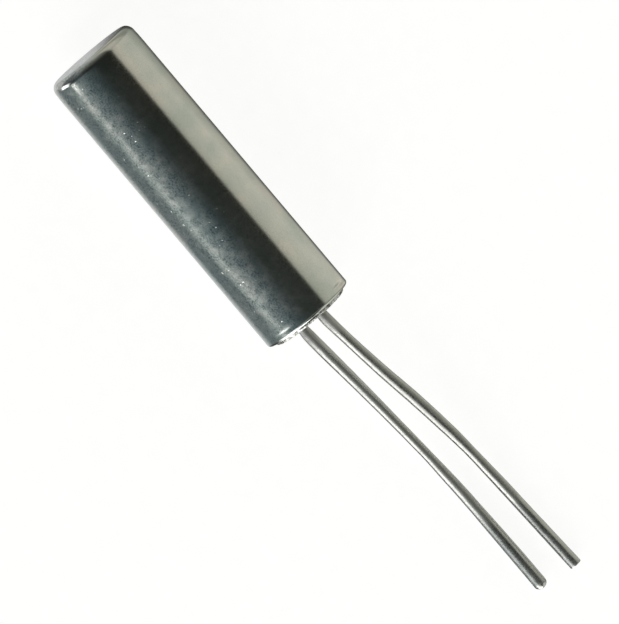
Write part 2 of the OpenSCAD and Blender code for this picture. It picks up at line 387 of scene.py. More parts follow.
GLASS_RECESS = 0.06
GLASS_FACE_X, GLASS_BACK_X = RING_FACE_X - GLASS_RECESS, RING_BACK_X + GLASS_RECESS

# Where the leads leave the base
PAIR_TURN = math.radians(51)
PAIR_SHIFT = -0.05
LEAD_PITCH = 1.1
LEAD_R = 0.165
half_aside = LEAD_PITCH / 2 * math.cos(PAIR_TURN)
half_up = LEAD_PITCH / 2 * math.sin(PAIR_TURN)
ROOT_A = Vector((0, PAIR_SHIFT - half_aside, -half_up))
ROOT_B = Vector((0, PAIR_SHIFT + half_aside, half_up))
print("can from x", round(BACK_X, 2), "to", round(MOUTH_X, 2), "mm")
print("can", round(2 * CAN_R, 2), "mm across, its ring's bore", round(2 * RING_BORE_R, 2))

# %% [markdown]
# ## Turned pieces
# The can is deep-drawn and the ring is pressed, so both are the same all the way round.
# A Screw modifier could turn their outline, but then they couldn't be dented. Here a
# short function turns an outline of (x, radius) points round the X axis and lets another
# function move each point. Two more give the points of a rounded corner and of a line.


# %% Turn an outline into a mesh
def corner_arc(x, r, radius, start, end, steps=8):
    """Points of an arc about (x, r); 0 degrees points to +x and 90 away from the axis."""
    turns = [math.radians(start + (end - start) * i / steps) for i in range(steps + 1)]
    return [(x + radius * math.cos(a), r + radius * math.sin(a)) for a in turns]


def spaced(start, end, step):
    """Places from start to end, about step apart, with both ends among them."""
    count = max(1, round(abs(end - start) / step))
    return [start + (end - start) * i / count for i in range(count + 1)]


def turn_outline(name, outline, closed, sides, shape):
    """Turns the outline, in mm. A point on the axis becomes a pole; shape moves the rest."""
    mesh = bmesh.new()
    rings = []
    for x, r in outline:
        if r < 1e-6:
            rings.append([mesh.verts.new((x * MM, 0, 0))])
            continue
        ring = []
        for i in range(sides):
            turn_angle = 2 * math.pi * i / sides
            moved_x, moved_r = shape(x, r, turn_angle)
            point = Vector(
                (moved_x, moved_r * math.sin(turn_angle), moved_r * math.cos(turn_angle))
            )
            ring.append(mesh.verts.new(point * MM))
        rings.append(ring)
    pairs = list(zip(rings, rings[1:] + rings[:1]))
    for low, high in pairs if closed else pairs[:-1]:
        for i in range(sides):
            j = (i + 1) % sides
            corners = [
                low[i % len(low)], low[j % len(low)], high[j % len(high)], high[i % len(high)]
            ]
            # At a pole two corners are one point, so the face is a triangle
            mesh.faces.new(list(dict.fromkeys(corners)))
    bmesh.ops.recalc_face_normals(mesh, faces=mesh.faces[:])
    for face in mesh.faces:
        face.smooth = True
    data = bpy.data.meshes.new(name)
    mesh.to_mesh(data)
    mesh.free()
    piece = bpy.data.objects.new(name, data)
    SCENE.collection.objects.link(piece)
    print(name, "is turned from", len(outline), "points and has", len(data.polygons), "faces")
    return piece


# %% [markdown]
# ## The can
# A cup drawn from thin sheet. It is never quite true: its wall is pressed in by a few
# thousandths of a millimetre here and there, its closed end is a little narrower and
# slightly domed, and four small nips near the mouth hold the base. Each of these bends
# the lines of a reflection. They are added to the turned outline as smooth changes of
# the outer skin, so no edge shows where one starts.

# %% Draw the can
NIP_X = -0.31
NIP_DEPTH = 0.009
NIP_LENGTH, NIP_WIDTH = 0.055, math.radians(10)
NIP_ANGLES = [math.radians(angle) for angle in (-36, 54, 144, 234)]
NIP_REACH = 0.25
END_DOME = 0.02
END_TAPER = 0.03
END_TAPER_LENGTH = 0.76
WAVE_HEIGHT, WAVE_LENGTH = 0.002, 2.5
# The can's circle has this radius in the noise, so about seven waves go round it
WAVE_ROUND = 1.1


def drawn_skin(x, r, turn_angle):
    """The waves, dome, taper and nips of the outer skin; the bore stays true."""
    if x > BACK_X + CAN_WALL / 2 and r < CAN_R - CAN_WALL / 2:
        return x, r
    share = r / CAN_R
    wave_place = Vector(
        (x / WAVE_LENGTH, WAVE_ROUND * math.sin(turn_angle), WAVE_ROUND * math.cos(turn_angle))
    )
    wave = WAVE_HEIGHT * (noise.noise(wave_place) - 1)
    near_end = max(1 - (x - BACK_X) / END_TAPER_LENGTH, 0) ** 2
    nip = 0
    for nip_angle in NIP_ANGLES:
        aside = math.remainder(turn_angle - nip_angle, 2 * math.pi) / NIP_WIDTH
        nip = max(nip, math.exp(-(((x - NIP_X) / NIP_LENGTH) ** 2) - aside**2))
    radius = r + share * (wave - END_TAPER * near_end - NIP_DEPTH * nip)
    return x + END_DOME * near_end * share**2, radius


can_outline = [(BACK_X, r) for r in spaced(0, CAN_R - CAN_CORNER_WIDTH, 0.1)[:-1]]
for turn_angle in spaced(0, math.pi / 2, math.pi / 40):
    x = BACK_X + CAN_CORNER_LENGTH * (1 - math.cos(turn_angle))
    can_outline.append((x, CAN_R - CAN_CORNER_WIDTH * (1 - math.sin(turn_angle))))
barrel_start, barrel_end = BACK_X + CAN_CORNER_LENGTH, MOUTH_X - MOUTH_EDGE_R
can_outline += [(x, CAN_R) for x in spaced(barrel_start, NIP_X - NIP_REACH, 0.06)[1:]]
can_outline += [(x, CAN_R) for x in spaced(NIP_X - NIP_REACH, barrel_end, 0.02)[1:-1]]
can_outline += corner_arc(barrel_end, CAN_R - MOUTH_EDGE_R, MOUTH_EDGE_R, 90, 0, 8)
can_outline += [(MOUTH_X, r) for r in spaced(CAN_R - MOUTH_EDGE_R, BORE_R, 0.04)[1:]]
cavity_x, cavity_r = BACK_X + CAN_WALL, CAN_CORNER_LENGTH - CAN_WALL
can_outline += [(x, BORE_R) for x in spaced(MOUTH_X, cavity_x + cavity_r, 0.6)[1:]]
can_outline += corner_arc(cavity_x + cavity_r, BORE_R - cavity_r, cavity_r, 90, 180, 6)[1:]
can_outline += [(cavity_x, r) for r in spaced(BORE_R - cavity_r, 0, 0.2)[1:]]

can_shell = turn_outline("can_shell", can_outline, closed=False, sides=256, shape=drawn_skin)

# %% [markdown]
# ## The base ring
# A pressed ring, tinned so that it seals against the can when it is pushed in. The dip
# leaves a soft, slightly lumpy edge, which is made by moving the turned points.

# %% Press and tin the ring
LUMP_HEIGHT = 0.018
LUMP_LENGTH, LUMP_WIDTH = 0.12, 0.16


def tinned_edge(x, r, turn_angle):
    """Lumps of tin on the part that stands out of the can."""
    if x < MOUTH_X:
        return x, r
    y, z = r * math.sin(turn_angle), r * math.cos(turn_angle)
    out = LUMP_HEIGHT * noise.noise(Vector((x / LUMP_LENGTH, y / LUMP_WIDTH, z / LUMP_WIDTH)))
    return x + min(out, 0), r + (out - LUMP_HEIGHT if r > RING_BORE_R + HAIR else 0)


edge_r, lip_r = BORE_R - RING_EDGE_R, RING_BORE_R + RING_LIP_R
lip_x = RING_FACE_X - RING_LIP_R
ring_outline = corner_arc(RING_FACE_X - RING_EDGE_R, edge_r, RING_EDGE_R, 90, 0, 8)
ring_outline += [(RING_FACE_X, r) for r in spaced(edge_r, lip_r, 0.03)[1:]]
ring_outline += corner_arc(lip_x, lip_r, RING_LIP_R, 0, -90, 4)[1:]
ring_outline += [(x, RING_BORE_R) for x in spaced(lip_x, RING_BACK_X, 0.15)[1:]]
ring_outline += [(RING_BACK_X, r) for r in spaced(RING_BORE_R, edge_r, 0.05)[1:]]
ring_outline += corner_arc(RING_BACK_X + RING_EDGE_R, edge_r, RING_EDGE_R, 180, 90, 6)[1:]
ring_outline += [(x, BORE_R) for x in spaced(RING_BACK_X + RING_EDGE_R, MOUTH_X, 0.2)[1:]]
ring_outline += [(MOUTH_X + HAIR, BORE_R)]

ring = turn_outline("base_ring_tinned", ring_outline, closed=True, sides=256, shape=tinned_edge)

# %% [markdown]
# ## The glass
# Glass melted into the ring. While it was soft it crept up the ring and up each wire,
# so its face is a shallow dish with a small foot round each lead. The face is a grid
# of rings whose points are lowered or raised by the distance to the ring and the wires.

# %% Melt the glass
CREEP_WIDTH = 0.12
RING_CREEP = 0.05
WIRE_CREEP = 0.07


def glass_rise(y, z):
    """How far the glass stands above its dish at a place across the base."""
    to_ring = RING_BORE_R - math.hypot(y, z)
    rise = RING_CREEP * math.exp(-to_ring / CREEP_WIDTH)
    for root in (ROOT_A, ROOT_B):
        to_wire = max(math.hypot(y - root.y, z - root.z) - LEAD_R, 0)
        rise = max(rise, WIRE_CREEP * math.exp(-to_wire / (0.5 * CREEP_WIDTH)))
    return rise


def crept_face(x, r, turn_angle):
    """Raises a point of the face; the side and the back stay as they are."""
    if x < GLASS_FACE_X - HAIR:
        return x, r
    return x + glass_rise(r * math.sin(turn_angle), r * math.cos(turn_angle)), r


glass_outline = [(GLASS_FACE_X, r) for r in spaced(0, RING_BORE_R, 0.025)]
glass_outline += [(x, RING_BORE_R) for x in spaced(GLASS_FACE_X - 0.05, GLASS_BACK_X, 0.3)]
glass_outline += [(GLASS_BACK_X, r) for r in spaced(RING_BORE_R, 0, 0.2)[1:]]
glass = turn_outline("glass_bead", glass_outline, closed=False, sides=128, shape=crept_face)

# %% [markdown]
# ## The leads
# Soft wire that was tinned by dipping and has been bent a little by hand. A wire could
# be a curve with a bevel, but that bevel can't be lumpy. Here a path carries the wire's
# thickness from place to place, and Geometry Nodes sweep a circle along it and push
# its surface in and out by a noise, as the solder left it. Inside the can a lead is
# straight, and its inner end is pressed flat up to FLAT_X.

# %% Lay out the two wires
# Each station is (x, y, z, radius) of the wire's centre line, from the glass to the tip
WIRE_A = [
    (0.2, -0.39, -0.43, 0.17), (0.4, -0.385, -0.45, 0.185), (1.1, -0.33, -0.515, 0.19),
    (2.55, -0.2, -0.655, 0.175), (4, -0.085, -0.79, 0.16), (5.45, 0.015, -0.955, 0.155),
    (6.2, 0.05, -1.06, 0.17), (6.9, 0.08, -1.155, 0.18), (7.65, 0.095, -1.245, 0.185),
    (8.35, 0.105, -1.295, 0.195), (9.8, 0.12, -1.29, 0.21), (10.785, 0.12, -1.285, 0.21),
]
WIRE_B = [
    (0.1, 0.32, 0.43, 0.17), (0.3, 0.33, 0.395, 0.18), (1, 0.405, 0.245, 0.17),
    (2.5, 0.595, -0.1, 0.18), (3.95, 0.815, -0.44, 0.19), (5.45, 1, -0.79, 0.18),
    (6.15, 1.06, -0.925, 0.165), (6.9, 1.105, -1.065, 0.17), (7.65, 1.145, -1.21, 0.18),
    (8.35, 1.175, -1.295, 0.18), (9.8, 1.24, -1.305, 0.19), (10.895, 1.29, -1.305, 0.195),
]
INNER_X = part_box("lead_a")[0].x / MM
FLAT_X = -1.91
# Lead A's tip was rounded by the solder, lead B's was cut square
ROUNDING_A, ROUNDING_B = 0.18, 0.03
print("leads reach to x, mm:", WIRE_A[-1][0], "and", WIRE_B[-1][0])

# %% [markdown]
# Straight lines from station to station would leave a kink at each. A cubic that leaves
# and reaches every station with the slope between its two neighbours has none. The tip
# is rounded off by thinning the wire over its last points, along a quarter circle.


# %% Join the stations into a path
PATH_STEP = 0.06
TIP_STEPS = 8
STRAIGHT_INSIDE = (FLAT_X + HAIR / 2, -1.2, -0.6, -0.06)


def follow(stations, x):
    """The wire's (y, z, radius) at x, with smooth slopes from station to station."""
    i = max(k for k in range(len(stations) - 1) if k == 0 or stations[k][0] <= x)
    near, far = Vector(stations[i]), Vector(stations[i + 1])
    before = Vector(stations[i - 1]) if i else near - (far - near)
    after = Vector(stations[i + 2]) if i + 2 < len(stations) else far + (far - near)
    run = far[0] - near[0]
    share = (x - near[0]) / run
    leave = (far - before) / (far[0] - before[0]) * run
    arrive = (after - near) / (after[0] - near[0]) * run
    point = (
        near * (1 + 2 * share) * (1 - share) ** 2
        + leave * share * (1 - share) ** 2
        + far * share**2 * (3 - 2 * share)
        - arrive * share**2 * (1 - share)
    )
    return point[1], point[2], point[3]


def wire_path(name, root, stations, rounding):
    """Points joined along the wire, each with the wire's thickness there."""
    flat = (INNER_X, INNER_X + 0.3, FLAT_X - 2 * HAIR, FLAT_X)
    straight = [(x, root.y, root.z, LEAD_R) for x in flat + STRAIGHT_INSIDE]
    tip = stations[-1][0]
    steps = spaced(0, tip - rounding, PATH_STEP)
    way = [(x, *follow([straight[-1]] + stations, x)) for x in steps]
    for i in range(1, TIP_STEPS + 1):
        turn_angle = math.radians(90 * i / TIP_STEPS)
        x = tip - rounding * (1 - math.sin(turn_angle))
        y, z, r = follow(stations, x)
        way.append((x, y, z, r - rounding * (1 - math.cos(turn_angle))))
    points = straight + way
    data = bpy.data.meshes.new(name)
    spots = [(x * MM, y * MM, z * MM) for x, y, z, r in points]
    data.from_pydata(spots, [(i, i + 1) for i in range(len(spots) - 1)], [])
    thickness = data.attributes.new("thickness", "FLOAT", "POINT")
    thickness.data.foreach_set("value", [r * MM for x, y, z, r in points])
    path = bpy.data.objects.new(name, data)
    SCENE.collection.objects.link(path)
    print(name, "has", len(points), "points")
    return path


# %% [markdown]
# The tree below sweeps the circle. Its inputs carry the names that a wire drawer would
# use, and the dip's number picks the lumps, so one tree makes two different leads.

# %% Name the inputs of the wire tree
wire_tree = bpy.data.node_groups.new("dipped_wire", "GeometryNodeTree")
wire_tree.interface.new_socket("Geometry", in_out="INPUT", socket_type="NodeSocketGeometry")
wire_tree.interface.new_socket("Geometry", in_out="OUTPUT", socket_type="NodeSocketGeometry")
for name, kind, default in (
    ("Sides", "NodeSocketInt", 48),
    ("Lump Height", "NodeSocketFloat", 0.01 * MM),
    ("Lump Spacing", "NodeSocketFloat", 0.35 * MM),
    ("Dip Number", "NodeSocketFloat", 0.0),
    ("Finish", "NodeSocketMaterial", None),
):
    socket = wire_tree.interface.new_socket(name, in_out="INPUT", socket_type=kind)
    if default is not None:
        socket.default_value = default
sockets = wire_tree.interface.items_tree
print("wire tree inputs:", ", ".join(item.name for item in sockets if item.in_out == "INPUT"))

# %% Sweep the circle along the path
given = add_node(wire_tree, "NodeGroupInput").outputs
section = add_node(
    wire_tree,
    "GeometryNodeCurvePrimitiveCircle",
    inputs={"Resolution": given["Sides"], "Radius": 1.0},
)
line = add_node(wire_tree, "GeometryNodeMeshToCurve", inputs={"Mesh": given["Geometry"]})
thickness = add_node(
    wire_tree, "GeometryNodeInputNamedAttribute", {"data_type": "FLOAT"}, {"Name": "thickness"}
)
swept = add_node(
    wire_tree,
    "GeometryNodeCurveToMesh",
    inputs={
        "Curve": line.outputs[0],
        "Profile Curve": section.outputs["Curve"],
        "Scale": thickness.outputs["Attribute"],
        "Fill Caps": True,
    },
)
print("nodes that sweep:", len(wire_tree.nodes))

# %% Push the lumps, end the tree
lumps = add_node(
    wire_tree,
    "ShaderNodeTexNoise",
    {"noise_dimensions": "4D"},
    {
        "Vector": add_node(wire_tree, "GeometryNodeInputPosition").outputs[0],
        "W": given["Dip Number"],
        "Scale": add_node(
            wire_tree, "ShaderNodeMath", {"operation": "DIVIDE"}, {0: 1.0, 1: given["Lump Spacing"]}
        ).outputs[0],
        "Detail": 2.0,
    },
)
push = add_node(
    wire_tree,
    "ShaderNodeMath",
    {"operation": "MULTIPLY"},
    {
        0: add_node(
            wire_tree, "ShaderNodeMath", {"operation": "SUBTRACT"}, {0: lumps.outputs["Fac"], 1: 0.5}
        ).outputs[0],
        1: given["Lump Height"],
    },
)
outward = add_node(
    wire_tree,
    "ShaderNodeVectorMath",
    {"operation": "SCALE"},
    {0: add_node(wire_tree, "GeometryNodeInputNormal").outputs[0], "Scale": push.outputs[0]},
)
lumpy = add_node(
    wire_tree,
    "GeometryNodeSetPosition",
    inputs={"Geometry": swept.outputs[0], "Offset": outward.outputs[0]},
)
soft = add_node(wire_tree, "GeometryNodeSetShadeSmooth", inputs={"Geometry": lumpy.outputs[0]})
real = add_node(wire_tree, "GeometryNodeRealizeInstances", inputs={"Geometry": soft.outputs[0]})
finished = add_node(
    wire_tree,
    "GeometryNodeSetMaterial",
    inputs={"Geometry": real.outputs[0], "Material": given["Finish"]},
)
add_node(wire_tree, "NodeGroupOutput", inputs={"Geometry": finished.outputs[0]})
print("nodes in the whole wire tree:", len(wire_tree.nodes))

# %% [markdown]
# ## Starting a finish
# Each finish below is a small tree of noises that feeds one Principled shader. What is
# the same all over, such as Metallic, is set on the shader itself. What varies reads
# Object coordinates, which are metres here, so a noise whose features should be 0.05 mm
# apart has a scale of 1 / (0.05 * MM).


# %% Start a finish
def start_finish(name, **even):
    """A new material, its tree, its shader and the place on the piece that patterns read."""
    finish = bpy.data.materials.new(name)
    finish.use_nodes = True
    tree = finish.node_tree
    tree.nodes.clear()
    values = {socket.replace("_", " "): value for socket, value in even.items()}
    shader = add_node(tree, "ShaderNodeBsdfPrincipled", inputs=values)
    add_node(tree, "ShaderNodeOutputMaterial", inputs={"Surface": shader.outputs["BSDF"]})
    place = add_node(tree, "ShaderNodeTexCoord").outputs["Object"]
    return finish, tree, shader, place


# %% [markdown]
# ## Drawn nickel silver
# The can is nickel silver, a white metal, drawn and then tumbled with small stones. The
# tumbling leaves it bright, with a grain of dull spots a few hundredths of a millimetre
# wide. It has since rubbed on other parts along one side, and there it is cloudy and
# full of small dents. So a scuff mask, read from the place on the can, says how much of
# the clouds, the dark grain and the dents a place gets. One even roughness would give
# neither the sharp edges of the reflections nor the haze round the lamps.

# %% Mask the scuffed side
# The scuffs start at the first y and are full at the second
SCUFF_FROM_Y, SCUFF_TO_Y = 0.25, -0.6
SCUFF_LEAST = 0.1
CLOUD_SIZE = 0.3
GRAIN_SIZE = 0.05

nickel_silver, tree, shader, place = start_finish("nickel_silver_drawn", Metallic=1.0)
across_can = add_node(tree, "ShaderNodeSeparateXYZ", inputs={0: place}).outputs["Y"]
scuff = add_node(
    tree,
    "ShaderNodeMapRange",
    {"interpolation_type": "SMOOTHSTEP"},
    {
        "Value": across_can,
        "From Min": SCUFF_FROM_Y * MM,
        "From Max": SCUFF_TO_Y * MM,
        "To Min": SCUFF_LEAST,
    },
).outputs[0]
clouds = add_node(
    tree,
    "ShaderNodeTexNoise",
    inputs={"Vector": place, "Scale": 1 / (CLOUD_SIZE * MM), "Detail": 5.0, "Roughness": 0.6},
).outputs["Fac"]
grain = add_node(
    tree,
    "ShaderNodeTexNoise",
    inputs={"Vector": place, "Scale": 1 / (GRAIN_SIZE * MM), "Detail": 3.0, "Roughness": 0.6},
).outputs["Fac"]
print("the scuffs fade out at y, mm:", SCUFF_FROM_Y)

# %% Dull the scuffed side
CLOUD_LEAST, CLOUD_MOST = -0.06, 0.07
GRAIN_LEAST, GRAIN_MOST = 0.13, 0.2

cloud_dullness = add_node(
    tree,
    "ShaderNodeMapRange",
    inputs={
        "Value": clouds,
        "From Min": 0.35,
        "From Max": 0.65,
        "To Min": CLOUD_LEAST,
        "To Max": CLOUD_MOST,
    },
).outputs[0]
scuffed_dullness = add_node(
    tree, "ShaderNodeMath", {"operation": "MULTIPLY"}, {0: cloud_dullness, 1: scuff}
).outputs[0]
grain_dullness = add_node(
    tree,
    "ShaderNodeMapRange",
    inputs={
        "Value": grain,
        "From Min": 0.3,
        "From Max": 0.7,
        "To Min": GRAIN_LEAST,
        "To Max": GRAIN_MOST,
    },
).outputs[0]
dullness = add_node(
    tree, "ShaderNodeMath", {"operation": "ADD"}, {0: scuffed_dullness, 1: grain_dullness}
)
tree.links.new(dullness.outputs[0], shader.inputs["Roughness"])
roughest = round(GRAIN_MOST + CLOUD_MOST, 2)
print("roughness of the can:", round(GRAIN_LEAST + CLOUD_LEAST, 2), "to", roughest)

# %% [markdown]
# The dents are the cells of a Voronoi pattern. A dent's size is drawn by lot: the random
# colour of its cell is added to the distance from its middle, so most cells have none.
# Both are counted in cells: a dent is full below DENT_FULL and gone above DENT_GONE.

# %% Dent the scuffed side
DENT_SPACING = 0.2
DENT_DEPTH = 0.0045
CLOUD_DEPTH = 0.0015
DENT_LOT = 0.2
DENT_GONE, DENT_FULL = 0.22, 0.05

dents = add_node(
    tree, "ShaderNodeTexVoronoi", {"feature": "F1"}, {"Vector": place, "Scale": 1 / (DENT_SPACING * MM)}
)
dent_lot = add_node(tree, "ShaderNodeSeparateColor", inputs={"Color": dents.outputs["Color"]})
dent_edge = add_node(
    tree,
    "ShaderNodeMath",
    {"operation": "MULTIPLY_ADD"},
    {0: dent_lot.outputs["Red"], 1: DENT_LOT, 2: dents.outputs["Distance"]},
)
dent = add_node(
    tree,
    "ShaderNodeMapRange",
    {"interpolation_type": "SMOOTHSTEP"},
    {"Value": dent_edge.outputs[0], "From Min": DENT_GONE, "From Max": DENT_FULL},
).outputs[0]
scuffed_dent = add_node(
    tree, "ShaderNodeMath", {"operation": "MULTIPLY"}, {0: dent, 1: scuff}
).outputs[0]
dented = add_node(
    tree, "ShaderNodeBump", {"invert": True}, {"Height": scuffed_dent, "Distance": DENT_DEPTH * MM}
)
smeared = add_node(
    tree,
    "ShaderNodeBump",
    inputs={"Height": clouds, "Distance": CLOUD_DEPTH * MM, "Normal": dented.outputs[0]},
)
tree.links.new(smeared.outputs[0], shader.inputs["Normal"])
print("dents at most", round((DENT_GONE + DENT_FULL) * DENT_SPACING, 3), "mm across")

# %% [markdown]
# The metal is tinted a little warmer and cooler in wide patches. The grain shows as
# dark spots on the scuffed side, deepest between the clouds, where the tumbled surface
# is still whole. A dent's floor is fresh metal, so it is the palest.

# %% Colour the can
TINT_SIZE = 1.1

warmth = add_node(
    tree, "ShaderNodeTexNoise", inputs={"Vector": place, "Scale": 1 / (TINT_SIZE * MM), "Detail": 4.0}
)
warm_share = add_node(
    tree,
    "ShaderNodeMapRange",
    inputs={"Value": warmth.outputs["Fac"], "From Min": 0.35, "From Max": 0.65},
)
metal_tone = add_node(
    tree,
    "ShaderNodeMix",
    {"data_type": "RGBA"},
    {"Factor": warm_share.outputs[0], MIX_A: srgb("#CBD0CA"), MIX_B: srgb("#E2DED6")},
)
grain_depth = add_node(
    tree,
    "ShaderNodeMapRange",
    inputs={"Value": grain, "From Min": 0.44, "From Max": 0.68, "To Max": 0.75},
).outputs[0]
worn_share = add_node(
    tree,
    "ShaderNodeMapRange",
    inputs={"Value": clouds, "From Min": 0.4, "From Max": 0.6, "To Min": 1.35, "To Max": 0.45},
)
worn = add_node(
    tree, "ShaderNodeMath", {"operation": "MULTIPLY"}, {0: worn_share.outputs[0], 1: scuff}
)
grain_share = add_node(
    tree, "ShaderNodeMath", {"operation": "MULTIPLY"}, {0: grain_depth, 1: worn.outputs[0]}
)
grained_tone = add_node(
    tree,
    "ShaderNodeMix",
    {"data_type": "RGBA"},
    {"Factor": grain_share.outputs[0], MIX_A: metal_tone.outputs[MIX_OUT], MIX_B: srgb("#828C8B")},
)
dented_tone = add_node(
    tree,
    "ShaderNodeMix",
    {"data_type": "RGBA"},
    {"Factor": scuffed_dent, MIX_A: grained_tone.outputs[MIX_OUT], MIX_B: srgb("#F0F1EE")},
)
tree.links.new(dented_tone.outputs[MIX_OUT], shader.inputs["Base Color"])
print(nickel_silver.name, "has", len(tree.nodes), "nodes")

# %% [markdown]
# ## Dipped solder
# The leads were dipped in molten tin solder. It set with a soft shine, darker where it
# is thin, with small frosty grains and short drag marks along the wire. Close to the
# glass it didn't run well, so there it is dull.

# %% Melt the solder
DULL_FROM_X, DULL_TO_X = 0.5, 1.0
ROOT_DULLNESS = 0.25
FROST_LEAST, FROST_MOST = 0.22, 0.36
FROST_SIZE = 0.06
FROST_DEPTH = 0.0012
DRAG_LENGTH, DRAG_WIDTH = 0.5, 0.06
DRAG_DEPTH = 0.003

solder, tree, shader, place = start_finish("solder_dipped", Metallic=1.0)
frost = add_node(
    tree, "ShaderNodeTexNoise", inputs={"Vector": place, "Scale": 1 / (FROST_SIZE * MM), "Detail": 2.0}
)
frosty = add_node(
    tree,
    "ShaderNodeMapRange",
    inputs={
        "Value": frost.outputs["Fac"],
        "From Min": 0.35,
        "From Max": 0.65,
        "To Min": FROST_LEAST,
        "To Max": FROST_MOST,
    },
)
dull_root = add_node(
    tree,
    "ShaderNodeMapRange",
    {"interpolation_type": "SMOOTHSTEP"},
    {
        "Value": add_node(tree, "ShaderNodeSeparateXYZ", inputs={0: place}).outputs["X"],
        "From Min": DULL_TO_X * MM,
        "From Max": DULL_FROM_X * MM,
        "To Max": ROOT_DULLNESS,
    },
)
dullness = add_node(
    tree, "ShaderNodeMath", {"operation": "ADD"}, {0: frosty.outputs[0], 1: dull_root.outputs[0]}
)
tree.links.new(dullness.outputs[0], shader.inputs["Roughness"])
drag = add_node(
    tree,
    "ShaderNodeMapping",
    inputs={
        "Vector": place,
        "Scale": (1 / (DRAG_LENGTH * MM), 1 / (DRAG_WIDTH * MM), 1 / (DRAG_WIDTH * MM)),
    },
)
marks = add_node(
    tree, "ShaderNodeTexNoise", inputs={"Vector": drag.outputs[0], "Scale": 1.0, "Detail": 3.0}
)
tone = add_node(
    tree,
    "ShaderNodeMix",
    {"data_type": "RGBA"},
    {"Factor": marks.outputs["Fac"], MIX_A: srgb("#B4B3AE"), MIX_B: srgb("#DADAD6")},
)
tree.links.new(tone.outputs[MIX_OUT], shader.inputs["Base Color"])
rippled = add_node(
    tree, "ShaderNodeBump", inputs={"Height": marks.outputs["Fac"], "Distance": DRAG_DEPTH * MM}
)
frosted = add_node(
    tree,
    "ShaderNodeBump",
    inputs={
        "Height": frost.outputs["Fac"],
        "Distance": FROST_DEPTH * MM,
        "Normal": rippled.outputs[0],
    },
)
tree.links.new(frosted.outputs[0], shader.inputs["Normal"])
print(solder.name, "has", len(tree.nodes), "nodes")

# %% [markdown]
# ## Dipped tin
# The ring was tinned before the base was pushed in. Its tin was wiped while it was
# liquid and then scraped by the can, so it is bright on the lumps and torn at the edge.
# Grains of 0.05 mm switch its gloss, and a bump of the same size breaks up its glints.
# Stains three grains wide darken it where the tin came off.

# %% Tin the ring
TIN_GRAIN = 0.05
TIN_STAIN = 3 * TIN_GRAIN
TIN_BUMP = 0.018
TIN_GLOSSY, TIN_DULL = 0.16, 0.42

tin, tree, shader, place = start_finish("tin_plate_dipped", Metallic=1.0)
grains = add_node(
    tree, "ShaderNodeTexNoise", inputs={"Vector": place, "Scale": 1 / (TIN_GRAIN * MM), "Detail": 3.0}
)
gloss = add_node(
    tree,
    "ShaderNodeMapRange",
    inputs={
        "Value": grains.outputs["Fac"],
        "From Min": 0.35,
        "From Max": 0.65,
        "To Min": TIN_GLOSSY,
        "To Max": TIN_DULL,
    },
)
tree.links.new(gloss.outputs[0], shader.inputs["Roughness"])
stain = add_node(
    tree, "ShaderNodeTexNoise", inputs={"Vector": place, "Scale": 1 / (TIN_STAIN * MM), "Detail": 2.0}
)
stained = add_node(
    tree,
    "ShaderNodeMapRange",
    inputs={"Value": stain.outputs["Fac"], "From Min": 0.4, "From Max": 0.58},
)
tone = add_node(
    tree,
    "ShaderNodeMix",
    {"data_type": "RGBA"},
    {"Factor": stained.outputs[0], MIX_A: srgb("#84847F"), MIX_B: srgb("#E4E4E0")},
)
tree.links.new(tone.outputs[MIX_OUT], shader.inputs["Base Color"])
torn = add_node(
    tree, "ShaderNodeBump", inputs={"Height": grains.outputs["Fac"], "Distance": TIN_BUMP * MM}
)
tree.links.new(torn.outputs[0], shader.inputs["Normal"])
print(tin.name, "has", len(tree.nodes), "nodes")

# %% [markdown]
# ## Fused sealing glass
# A dark grey-green glass that was pressed from powder and melted in place, so it has
# tiny bubbles just under a glossy face. A cell pattern gives the bubbles: inside a
# small distance from each cell's middle the face is lighter and slightly raised.

# %% Melt the sealing glass
BUBBLE_SPACING = 0.14
BUBBLE_RISE = 0.004
SWIRL_SIZE = 0.3

sealing_glass, tree, shader, place = start_finish("sealing_glass_fused", IOR=1.5)
bubbles = add_node(
    tree,
    "ShaderNodeTexVoronoi",
    {"feature": "F1"},
    {"Vector": place, "Scale": 1 / (BUBBLE_SPACING * MM)},
)
bubble = add_node(
    tree,
    "ShaderNodeMapRange",
    {"interpolation_type": "SMOOTHSTEP"},
    {"Value": bubbles.outputs["Distance"], "From Min": 0.22, "From Max": 0.1},
)
swirl = add_node(
    tree, "ShaderNodeTexNoise", inputs={"Vector": place, "Scale": 1 / (SWIRL_SIZE * MM), "Detail": 3.0}
)
body_tone = add_node(
    tree,
    "ShaderNodeMix",
    {"data_type": "RGBA"},
    {"Factor": swirl.outputs["Fac"], MIX_A: srgb("#2F3935"), MIX_B: srgb("#48534D")},
)
tone = add_node(
    tree,
    "ShaderNodeMix",
    {"data_type": "RGBA"},
    {"Factor": bubble.outputs[0], MIX_A: body_tone.outputs[MIX_OUT], MIX_B: srgb("#6B7670")},
)
tree.links.new(tone.outputs[MIX_OUT], shader.inputs["Base Color"])
gloss = add_node(
    tree, "ShaderNodeMapRange", inputs={"Value": swirl.outputs["Fac"], "To Min": 0.06, "To Max": 0.2}
)
tree.links.new(gloss.outputs[0], shader.inputs["Roughness"])
raised = add_node(
    tree, "ShaderNodeBump", inputs={"Height": bubble.outputs[0], "Distance": BUBBLE_RISE * MM}
)
tree.links.new(raised.outputs[0], shader.inputs["Normal"])
print(sealing_glass.name, "has", len(tree.nodes), "nodes")

# %% [markdown]
# ## The finishes inside
# The quartz slip is lapped with fine grit, which leaves clear quartz with a satin face.
# Silver is evaporated on both faces through a mask, so it is bright but takes the satin
# of the quartz under it. A silver-filled epoxy glues the slip to the leads: it is dull
# grey, and its flakes of silver catch the light one by one. Lapping grit is 0.01 mm, too
# fine to show, so it is drawn at 0.03.

# %% Lap the quartz
GRIT = 0.03
GRIT_DEPTH = 0.001

